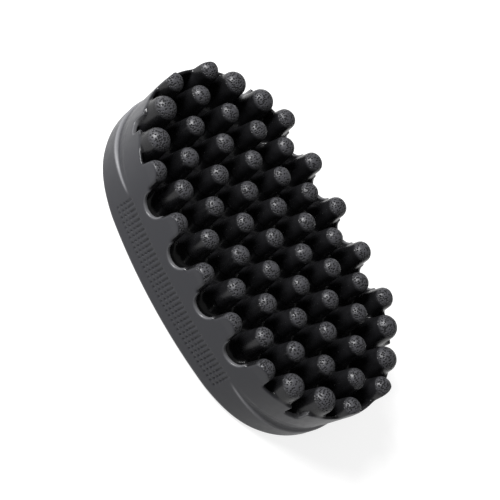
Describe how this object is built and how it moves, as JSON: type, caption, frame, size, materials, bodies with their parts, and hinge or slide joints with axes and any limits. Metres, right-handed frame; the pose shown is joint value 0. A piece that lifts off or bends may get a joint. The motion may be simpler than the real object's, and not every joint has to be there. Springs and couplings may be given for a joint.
{
  "type": "curry comb",
  "caption": "Palm-sized oval rubber curry comb: a solid oval back with gripped side walls and a lattice of round-tipped tapered massage fingers.",
  "frame": {"origin": "centre of the flat resting face on the comb's back, midway along and across the oval", "axes": "+X along the oval's long axis, +Y across it, +Z out of the back towards the finger tips"},
  "size_m": [0.1322, 0.0844, 0.0301],
  "materials": {
    "black_rubber": "satin moulded black rubber, glossy in the pits, finely stippled on the finger tips"
  },
  "bodies": {
    "root": {"finger_b2": "black_rubber", "finger_b3": "black_rubber", "finger_b4": "black_rubber", "finger_b5": "black_rubber", "finger_c2": "black_rubber", "finger_c3": "black_rubber", "finger_c4": "black_rubber", "finger_c5": "black_rubber", "finger_c6": "black_rubber", "finger_d2": "black_rubber", "finger_d3": "black_rubber", "finger_d4": "black_rubber", "finger_d5": "black_rubber", "finger_d6": "black_rubber", "finger_d7": "black_rubber", "finger_e1": "black_rubber", "finger_e2": "black_rubber", "finger_e3": "black_rubber", "finger_e4": "black_rubber", "finger_e5": "black_rubber", "finger_e6": "black_rubber", "finger_e7": "black_rubber", "finger_f2": "black_rubber", "finger_f3": "black_rubber", "finger_f4": "black_rubber", "finger_f5": "black_rubber", "finger_f6": "black_rubber", "finger_f7": "black_rubber", "finger_g2": "black_rubber", "finger_g3": "black_rubber", "finger_g4": "black_rubber", "finger_g5": "black_rubber", "finger_g6": "black_rubber", "finger_h2": "black_rubber", "finger_h3": "black_rubber", "finger_h4": "black_rubber", "finger_h5": "black_rubber", "rubber_body": "black_rubber"}
  },
  "joints": []
}
